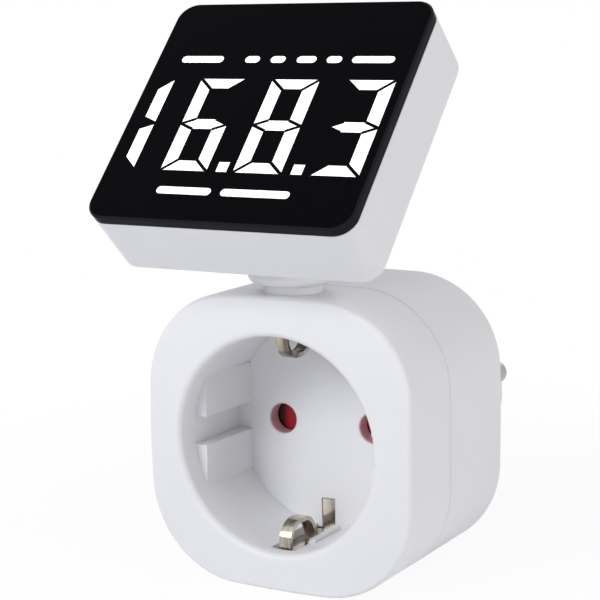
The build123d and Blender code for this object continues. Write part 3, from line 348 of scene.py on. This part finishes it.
steelFinish = drawnMetal("screwSteel", steelLook)
canLook = {**nickelLook, "colour": (0.6, 0.61, 0.63), "shade": (0.52, 0.53, 0.55)}
canFinish = drawnMetal("canMetal", canLook)
print("finishes made")

# Each finish with the nodes it dresses
dressing = (
    (frontFinish, ("front_shell",)),
    (shellFinish, ("rear_shell", "head_shell")),
    (neckFinish, ("neck",)),
    (buttonFinish, ("function_button",)),
    (windowFinish, ("display_window", "dark_guides")),
    (digitFinish, ("digit_guides", "lamp_guides")),
    (blockFinish, ("light_block", "metering_chip", "driver_chip", "push_switch")),
    (shutterFinish, ("shutter",)),
    (carrierFinish, ("contact_carrier", "board_plug", "lead_socket", "neck_clip", "neck_washer")),
    (pinFinish, ("plug_pin_live", "plug_pin_neutral")),
    (nickelFinish, ("earth_strip_top", "earth_strip_bottom")),
    (brassFinish, ("contact_live", "contact_neutral", "shunt_strap", "neutral_strap", "earth_bridge")),
    (steelFinish, ("case_screws", "carrier_screws", "board_screws", "head_screws")),
    (steelFinish, ("hinge_pins", "shutter_spring")),
    (boardFinish, ("main_board", "display_board")),
    (filmFinish, ("film_capacitor",)),
    (canFinish, ("can_capacitor",)),
    (discFinish, ("surge_disc",)),
    (leadFinish, ("display_lead", "neck_lead", "head_lead")),
)
smoothing = {"mergeDistance": 2e-6, "edgeAngle": math.radians(32)}


def dress(node, finish):
    node.data.materials.clear()
    node.data.materials.append(finish)
    for face in node.data.polygons:
        face.use_smooth = True
    weld = node.modifiers.new("joinTriangles", "WELD")  # loose triangles become one surface
    weld.merge_threshold = smoothing["mergeDistance"]
    split = node.modifiers.new("keepEdges", "EDGE_SPLIT")
    split.split_angle = smoothing["edgeAngle"]


for finish, names in dressing:
    for name in names:
        dress(nodes[name], finish)
print("nodes dressed")

# Background: plain white for the camera and through glass, a little less in reflections
mirrorShare = 0.7
plainStrength = 1.0


def whiteRays(tree):
    rays = addNode(tree, "LightPath").outputs
    mirrored = calculate(tree, "MULTIPLY", rays["Is Glossy Ray"], mirrorShare)
    straight = calculate(tree, "MAXIMUM", rays["Is Camera Ray"], rays["Is Transmission Ray"])
    return calculate(tree, "MAXIMUM", straight, mirrored)


def mixShaders(tree, share, first, second):
    return addNode(tree, "MixShader", {0: share, 1: first.outputs[0], 2: second.outputs[0]})


# Stage: a pale floor that keeps the object's shadow and turns plain white away from it
floorLook = {
    "size": 3.0,
    "tone": (0.93, 0.935, 0.95),
    "nearShare": 0.93,
    "whiteFrom": 0.045,
    "whiteTo": 0.14,
}


def floorPaper(look):
    material, tree = newMaterial("floorPaper")
    paper = addNode(tree, "BsdfDiffuse", {"Color": opaque(look["tone"])})
    plain = addNode(tree, "Emission", {"Color": opaque(white), "Strength": plainStrength})
    reach = measure(tree, "LENGTH", objectPlace(tree))
    fade = remap(tree, reach, (look["whiteFrom"], look["whiteTo"]), (look["nearShare"], 1.0))
    share = calculate(tree, "MULTIPLY", whiteRays(tree), fade)
    closeMaterial(tree, mixShaders(tree, share, paper, plain))
    return material


def makeFloor(look):
    mesh = bpy.data.meshes.new("floor")
    shape = bmesh.new()
    bmesh.ops.create_grid(shape, x_segments=1, y_segments=1, size=look["size"])
    bmesh.ops.translate(shape, verts=shape.verts, vec=(0, 0, cadBox[0].z))
    shape.to_mesh(mesh)
    shape.free()
    mesh.materials.append(floorPaper(look))
    floor = bpy.data.objects.new("floor", mesh)
    bpy.context.scene.collection.objects.link(floor)


makeFloor(floorLook)

# World: soft even light, seen as plain white
worldLook = {"light": (0.935, 0.935, 1.0), "strength": 0.42}


def makeWorld(look):
    world = bpy.data.worlds.new("studio")
    bpy.context.scene.world = world
    world.use_nodes = True
    tree = world.node_tree
    tree.nodes.clear()
    soft = addNode(tree, "Background", {"Color": opaque(look["light"]), "Strength": look["strength"]})
    plain = addNode(tree, "Background", {"Color": opaque(white), "Strength": plainStrength})
    seen = mixShaders(tree, whiteRays(tree), soft, plain)
    addNode(tree, "OutputWorld", {"Surface": seen.outputs[0]})


makeWorld(worldLook)

# Lamps: soft panels aimed at the middle of the object, placed by degrees and metres from it
middle = (cadBox[0] + cadBox[1]) / 2
lampLooks = {
    "keyPanel": {
        "azimuth": -20,
        "height": 29,
        "distance": 0.9,
        "size": 0.4,
        "power": 3.9,
        "tint": (0.97, 0.98, 1),
    },
    "sidePanel": {
        "azimuth": 88,
        "height": 8,
        "distance": 0.9,
        "size": 0.5,
        "power": 2.45,
        "tint": (1, 0.985, 0.94),
    },
    "backPanel": {
        "azimuth": 190,
        "height": 40,
        "distance": 1.0,
        "size": 0.8,
        "power": 0.85,
        "tint": (1, 1, 1),
    },
}


def roundAbout(azimuth, height):  # direction from the object, in degrees from the front and above level
    turn = math.radians(azimuth)
    rise = math.radians(height)
    level = math.cos(rise)
    return Vector((math.sin(turn) * level, -math.cos(turn) * level, math.sin(rise)))


def makeLamp(name, look):
    lamp = bpy.data.lights.new(name, "AREA")
    lamp.shape = "SQUARE"
    lamp.size = look["size"]
    lamp.energy = look["power"]
    lamp.color = look["tint"]
    holder = bpy.data.objects.new(name, lamp)
    towards = roundAbout(look["azimuth"], look["height"])
    holder.location = middle + towards * look["distance"]
    holder.rotation_euler = towards.to_track_quat("Z", "Y").to_euler()
    bpy.context.scene.collection.objects.link(holder)


for name, look in lampLooks.items():
    makeLamp(name, look)
print("stage and lamps set")

# Camera: found from the photograph's recess, body and head outlines
cameraFacts = {
    "azimuth": 29.73,
    "height": 9.46,
    "roll": -0.91,
    "distance": 0.30614,
    "aim": (0.00567, -0.0584, 0.02631),
    "focalPixels": 1781.85,
    "middlePixel": (300.38, 301.05),
    "imagePixels": 600,
    "sensor": 36,  # millimetres
    "nearest": 0.01,
    "furthest": 20,
}


def makeCamera(facts):
    data = bpy.data.cameras.new("camera")
    data.sensor_width = facts["sensor"]
    data.lens = facts["focalPixels"] / facts["imagePixels"] * facts["sensor"]
    half = facts["imagePixels"] / 2
    data.shift_x = (half - facts["middlePixel"][0]) / facts["imagePixels"]
    data.shift_y = (facts["middlePixel"][1] - half) / facts["imagePixels"]
    data.clip_start = facts["nearest"]
    data.clip_end = facts["furthest"]
    back = roundAbout(facts["azimuth"], facts["height"])
    turn = math.radians(facts["azimuth"])
    right = Vector((math.cos(turn), math.sin(turn), 0))
    up = back.cross(right)
    roll = math.radians(facts["roll"])
    rolledRight = right * math.cos(roll) + up * math.sin(roll)
    rolledUp = up * math.cos(roll) - right * math.sin(roll)
    camera = bpy.data.objects.new("camera", data)
    axes = Matrix((rolledRight, rolledUp, back)).transposed().to_4x4()
    camera.matrix_world = Matrix.Translation(Vector(facts["aim"]) + back * facts["distance"]) @ axes
    bpy.context.scene.collection.objects.link(camera)
    bpy.context.scene.camera = camera


makeCamera(cameraFacts)
bpy.context.scene.view_settings.view_transform = "Standard"
print("camera set")
